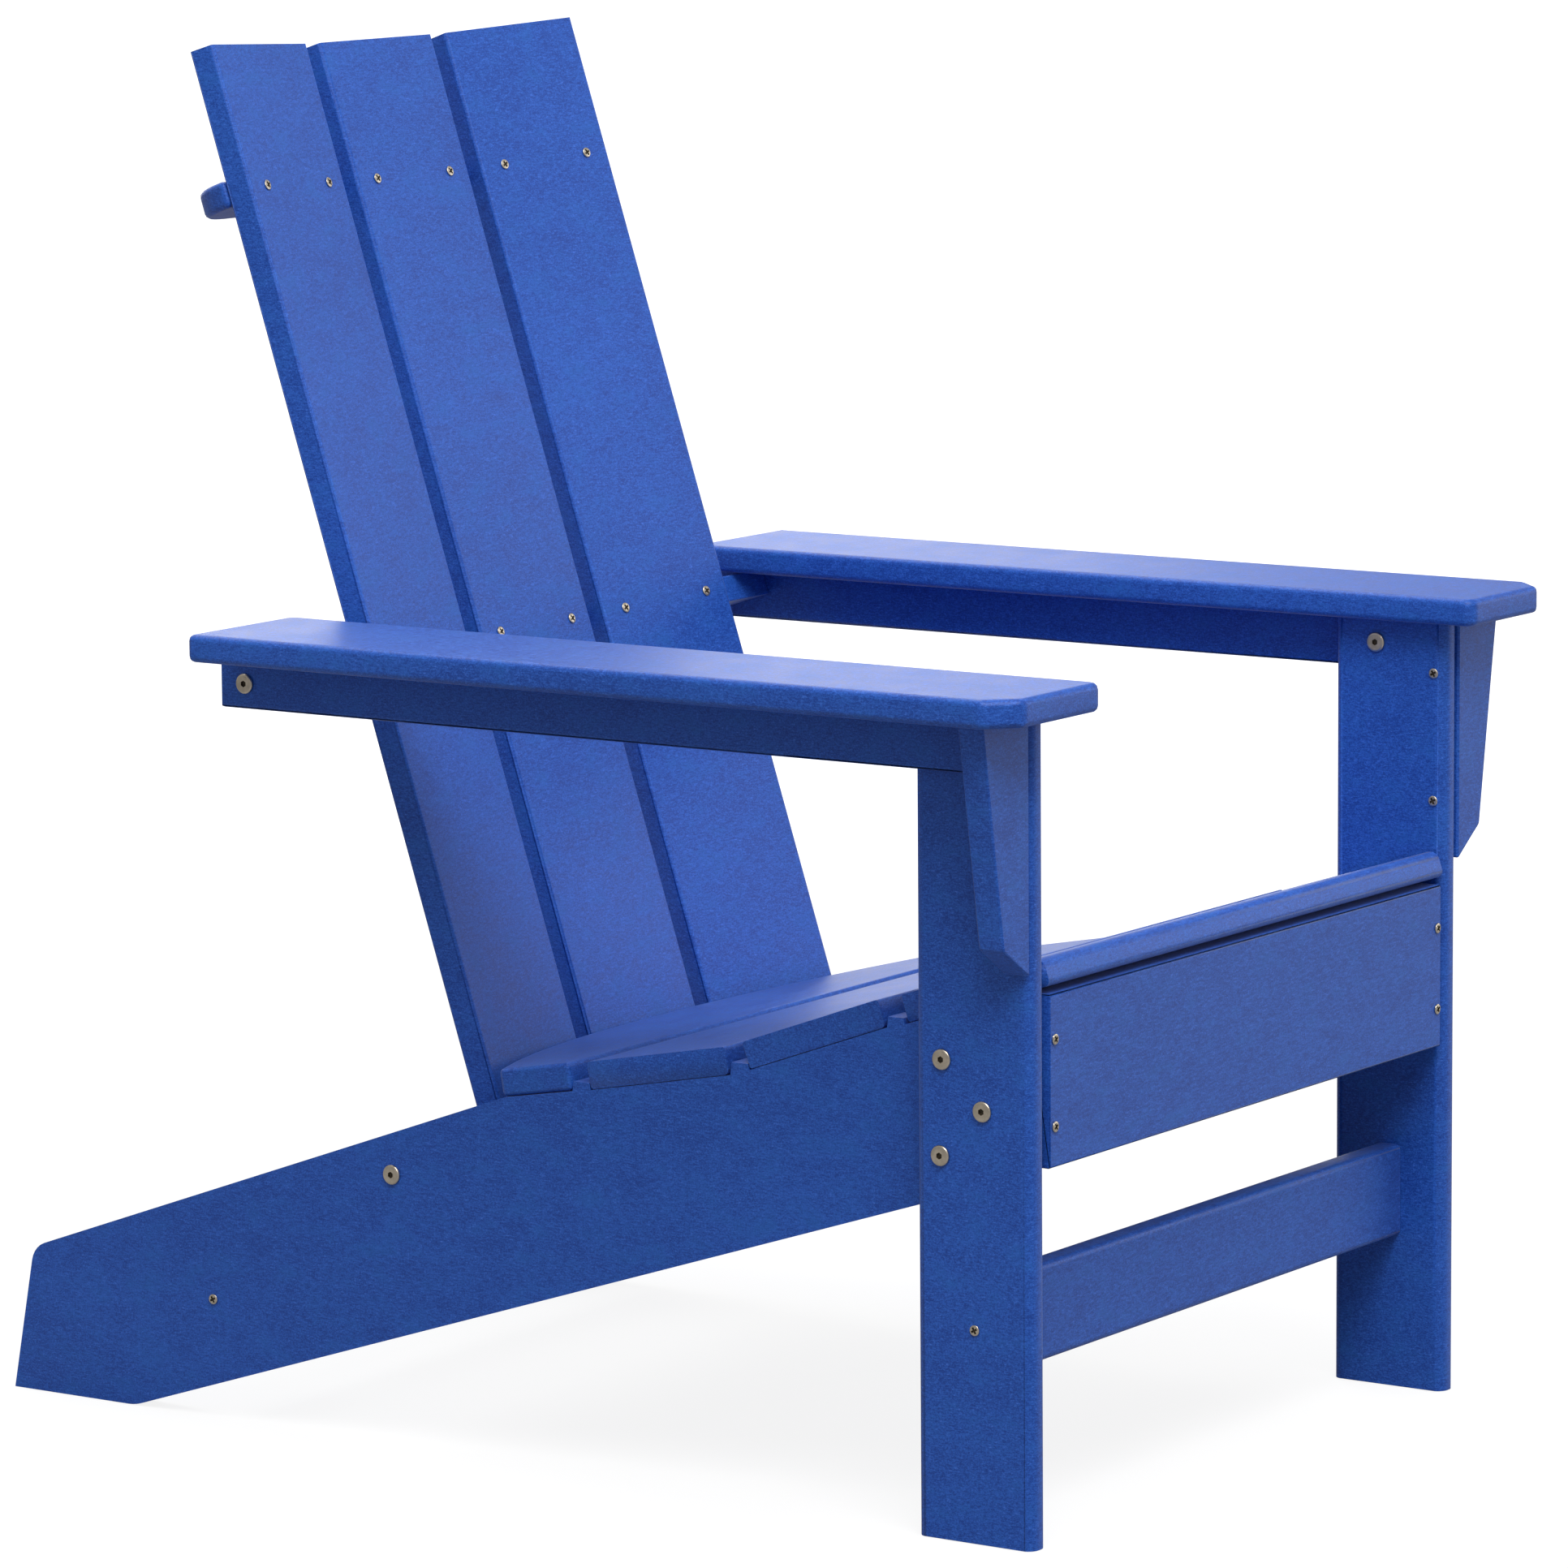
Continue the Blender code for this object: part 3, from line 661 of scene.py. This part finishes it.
def behind_wing(side):
    """Direction out of the back of an outer back slat, which is turned towards the sitter."""
    return Matrix.Rotation(-OUTWARD[side] * WING, 3, UP_THE_BACK) @ BEHIND_THE_BACK


class CHAIR_OT_legs(bpy.types.Operator):
    """Front legs"""

    bl_idname = "chair.legs"
    bl_label = "Front Legs"
    bl_options = {"REGISTER", "UNDO"}

    def execute(self, context):
        dress_boards(on_both_sides("front_leg"), UPWARD, context.scene.chair_boards.edge_round)
        return {"FINISHED"}


class CHAIR_OT_arms(bpy.types.Operator):
    """Arms, arm rails and the brackets under the arms"""

    bl_idname = "chair.arms"
    bl_label = "Arms"
    bl_options = {"REGISTER", "UNDO"}

    def execute(self, context):
        edge = context.scene.chair_boards.edge_round
        dress_boards(on_both_sides("arm"), REARWARD, edge)
        dress_boards(on_both_sides("arm_rail"), REARWARD, edge)
        dress_boards(on_both_sides("arm_bracket"), UPWARD, edge)
        return {"FINISHED"}


class CHAIR_OT_seat(bpy.types.Operator):
    """Seat slats and the apron under their front edge"""

    bl_idname = "chair.seat"
    bl_label = "Seat Slats"
    bl_options = {"REGISTER", "UNDO"}

    def execute(self, context):
        slats = ["seat_slat_rear", "seat_slat_mid_rear", "seat_slat_mid_front", "seat_slat_front"]
        dress_boards(slats + ["apron"], ACROSS, context.scene.chair_boards.edge_round)
        return {"FINISHED"}


class CHAIR_OT_seat_rails(bpy.types.Operator):
    """Long sloping seat rails that end in the rear feet"""

    bl_idname = "chair.seat_rails"
    bl_label = "Seat Rails"
    bl_options = {"REGISTER", "UNDO"}

    def execute(self, context):
        dress_boards(on_both_sides("seat_rail"), DOWN_THE_RAIL, context.scene.chair_boards.outline_round)
        return {"FINISHED"}


class CHAIR_OT_back_slats(bpy.types.Operator):
    """Three back slats, the outer two turned in"""

    bl_idname = "chair.back_slats"
    bl_label = "Back Slats"
    bl_options = {"REGISTER", "UNDO"}

    def execute(self, context):
        slats = ["back_slat_middle", "back_slat_left", "back_slat_right"]
        dress_boards(slats, UP_THE_BACK, context.scene.chair_boards.edge_round)
        return {"FINISHED"}


class CHAIR_OT_braces(bpy.types.Operator):
    """Braces behind the back"""

    bl_idname = "chair.braces"
    bl_label = "Back Braces"
    bl_options = {"REGISTER", "UNDO"}

    def execute(self, context):
        braces = ["upper_back_brace", "arm_back_brace", "lower_back_brace"]
        dress_boards(braces, ACROSS, context.scene.chair_boards.outline_round)
        return {"FINISHED"}


class CHAIR_OT_stretchers(bpy.types.Operator):
    """Stretchers between the legs and between the seat rails"""

    bl_idname = "chair.stretchers"
    bl_label = "Stretchers"
    bl_options = {"REGISTER", "UNDO"}

    def execute(self, context):
        stretchers = ["front_stretcher", "rear_stretcher"]
        dress_boards(stretchers, ACROSS, context.scene.chair_boards.edge_round)
        return {"FINISHED"}


class CHAIR_OT_bolts(bpy.types.Operator):
    """Furniture bolts with hex sockets"""

    bl_idname = "chair.bolts"
    bl_label = "Bolts"
    bl_options = {"REGISTER", "UNDO"}

    def execute(self, context):
        settings = context.scene.chair_fasteners
        for side in SIDES:
            out = OUTWARD[side] * ACROSS
            rows = [(f"leg_bolt_{side}_{number}", out, BOARD_BOLT_LENGTH) for number in (1, 2, 3)]
            rows.append((f"arm_rail_bolt_{side}", -out, BOARD_BOLT_LENGTH))
            rows.append((f"arm_brace_bolt_{side}", out, BRACE_BOLT_LENGTH))
            rows.append((f"lower_brace_bolt_{side}", out, BRACE_BOLT_LENGTH))
            for node, outward, length in rows:
                fasten(node, outward, BOLT_HEAD_HEIGHT, bolt(settings, length))
        return {"FINISHED"}


def back_screws(slat):
    """The four screws of a back slat, two into each brace."""
    return [f"back_screw_{slat}_{brace}_{number}" for brace in ("upper", "arm") for number in (1, 2)]


class CHAIR_OT_screws(bpy.types.Operator):
    """Wood screws with cross recesses"""

    bl_idname = "chair.screws"
    bl_label = "Screws"
    bl_options = {"REGISTER", "UNDO"}

    def execute(self, context):
        settings = context.scene.chair_fasteners
        rows = []
        for side in SIDES:
            out = OUTWARD[side] * ACROSS
            rows += [(f"bracket_screw_{side}_{number}", -out) for number in (1, 2)]
            rows += [(f"apron_screw_{side}_{number}", -REARWARD) for number in (1, 2)]
            rows += [(f"front_stretcher_screw_{side}", out), (f"rear_stretcher_screw_{side}", out)]
            rows += [(node, -behind_wing(side)) for node in back_screws(side)]
        rows += [(node, -BEHIND_THE_BACK) for node in back_screws("middle")]
        for node, outward in rows:
            fasten(node, outward, SCREW_HEAD_HEIGHT, screw(settings))
        return {"FINISHED"}


def area_light(name, place, target, size, power):
    """A soft rectangular light aimed at the target."""
    lamp = bpy.data.lights.new(name, "AREA")
    lamp.shape = "RECTANGLE"
    lamp.size, lamp.size_y = size
    lamp.energy = power
    holder = bpy.data.objects.new(name, lamp)
    holder.location = place
    holder.rotation_euler = (Vector(target) - Vector(place)).to_track_quat("-Z", "Y").to_euler()
    bpy.context.scene.collection.objects.link(holder)


def floor_material(settings):
    """A white floor that stays near white to the camera and throws a dimmer light back on the chair."""
    made, tree, shader = shader_of("studio_floor")
    tone = settings.floor_tone
    at = tree.nodes.new("ShaderNodeTexCoord").outputs["Object"]
    soft = noise(tree, at, (1.3, 1.3, 1.3), 2.0, 0.5)
    base = mixed(tree, soft, (tone, tone, tone), (tone * 0.98, tone * 0.98, tone * 0.98))
    tree.links.new(base, shader.inputs["Base Color"])
    shader.inputs["Roughness"].default_value = 0.9
    shader.inputs["Specular IOR Level"].default_value = 0.1
    seen = tree.nodes.new("ShaderNodeBsdfDiffuse")
    shadow = settings.shadow
    seen.inputs["Color"].default_value = (shadow, shadow, shadow, 1.0)
    glow = tree.nodes.new("ShaderNodeEmission")
    away = tree.nodes.new("ShaderNodeVectorMath")
    away.operation = "LENGTH"
    tree.links.new(at, away.inputs[0])
    far = Value(tree, away.outputs["Value"]).between(FADE_START, FADE_END)
    tree.links.new((far * 0.3 + (1.0 - 0.85 * shadow)).socket, glow.inputs["Strength"])
    both = tree.nodes.new("ShaderNodeAddShader")
    tree.links.new(seen.outputs[0], both.inputs[0])
    tree.links.new(glow.outputs[0], both.inputs[1])
    ray = tree.nodes.new("ShaderNodeLightPath")
    pick = tree.nodes.new("ShaderNodeMixShader")
    tree.links.new(ray.outputs["Is Camera Ray"], pick.inputs[0])
    tree.links.new(shader.outputs[0], pick.inputs[1])
    tree.links.new(both.outputs[0], pick.inputs[2])
    tree.links.new(pick.outputs[0], tree.nodes["Material Output"].inputs["Surface"])
    return made


def studio_world(settings):
    """A white surround that lights the chair more gently than it looks."""
    world = bpy.data.worlds.new("studio")
    world.use_nodes = True
    tree = world.node_tree
    glow = tree.nodes["Background"]
    glow.inputs["Color"].default_value = (1.0, 1.0, 1.0, 1.0)
    ray = tree.nodes.new("ShaderNodeLightPath")
    strength = Value(tree, ray.outputs["Is Camera Ray"]) * (BACKDROP_GLOW - settings.world_strength)
    strength = strength + settings.world_strength
    tree.links.new(strength.socket, glow.inputs["Strength"])
    return world


def studio_lens(settings):
    view = bpy.data.cameras.new("camera")
    view.sensor_width = 36.0
    view.lens = settings.lens
    view.clip_start = 0.1
    view.clip_end = 200.0
    return view


def camera_turn():
    """The camera's turn from its yaw, pitch and roll."""
    level = math.cos(CAMERA_PITCH)
    ahead = Vector((level * math.cos(CAMERA_YAW), level * math.sin(CAMERA_YAW), math.sin(CAMERA_PITCH)))
    right = Vector((math.sin(CAMERA_YAW), -math.cos(CAMERA_YAW), 0.0))
    up = right.cross(ahead)
    rolled_right = right * math.cos(CAMERA_ROLL) + up * math.sin(CAMERA_ROLL)
    rolled_up = up * math.cos(CAMERA_ROLL) - right * math.sin(CAMERA_ROLL)
    return Matrix((rolled_right, rolled_up, -ahead)).transposed().to_4x4()


class CHAIR_OT_stage(bpy.types.Operator):
    """Pale floor, soft light and camera"""

    bl_idname = "chair.stage"
    bl_label = "Stage"
    bl_options = {"REGISTER", "UNDO"}

    def execute(self, context):
        settings = context.scene.chair_stage
        work = bmesh.new()
        bmesh.ops.create_grid(work, x_segments=2, y_segments=2, size=FLOOR_HALF)
        bmesh.ops.translate(work, vec=(0.0, 0.0, -FLOOR_DROP), verts=work.verts)
        mesh = bpy.data.meshes.new("floor")
        work.to_mesh(mesh)
        work.free()
        mesh.materials.append(floor_material(settings))
        floor = bpy.data.objects.new("floor", mesh)
        context.scene.collection.objects.link(floor)
        context.scene.world = studio_world(settings)
        area_light("key_light", *KEY_LIGHT, settings.key_power)
        for name, (place, target, size, share) in CARDS.items():
            area_light(name, place, target, size, settings.card_power * share)
        camera = bpy.data.objects.new("camera", studio_lens(settings))
        camera.matrix_world = Matrix.Translation(CAMERA_PLACE) @ camera_turn()
        context.scene.collection.objects.link(camera)
        context.scene.camera = camera
        context.scene.view_settings.view_transform = "Standard"
        return {"FINISHED"}


class CHAIR_PT_panel(bpy.types.Panel):
    """Chair looks"""

    bl_idname = "CHAIR_PT_panel"
    bl_label = "Adirondack Chair"
    bl_space_type = "VIEW_3D"
    bl_region_type = "UI"
    bl_category = "Chair"

    def draw(self, context):
        layout = self.layout
        for group in ("chair_finish", "chair_boards", "chair_fasteners", "chair_stage"):
            box = layout.box()
            settings = getattr(context.scene, group)
            for name in settings.__annotations__:
                box.prop(settings, name)
        for step in STEPS:
            layout.operator(step.bl_idname)


STEPS = (
    CHAIR_OT_legs,
    CHAIR_OT_arms,
    CHAIR_OT_seat,
    CHAIR_OT_seat_rails,
    CHAIR_OT_back_slats,
    CHAIR_OT_braces,
    CHAIR_OT_stretchers,
    CHAIR_OT_bolts,
    CHAIR_OT_screws,
    CHAIR_OT_stage,
)
GROUPS = {
    "chair_finish": ChairFinishSettings,
    "chair_boards": ChairBoardSettings,
    "chair_fasteners": ChairFastenerSettings,
    "chair_stage": ChairStageSettings,
}


def register():
    for group in GROUPS.values():
        bpy.utils.register_class(group)
    for name, group in GROUPS.items():
        setattr(bpy.types.Scene, name, bpy.props.PointerProperty(type=group))
    for step in STEPS:
        bpy.utils.register_class(step)
    bpy.utils.register_class(CHAIR_PT_panel)


def unregister():
    bpy.utils.unregister_class(CHAIR_PT_panel)
    for step in reversed(STEPS):
        bpy.utils.unregister_class(step)
    for name in GROUPS:
        delattr(bpy.types.Scene, name)
    for group in reversed(list(GROUPS.values())):
        bpy.utils.unregister_class(group)


def main():
    register()
    for step in STEPS:
        space, name = step.bl_idname.split(".")
        getattr(getattr(bpy.ops, space), name)()


if __name__ == "__main__":
    main()
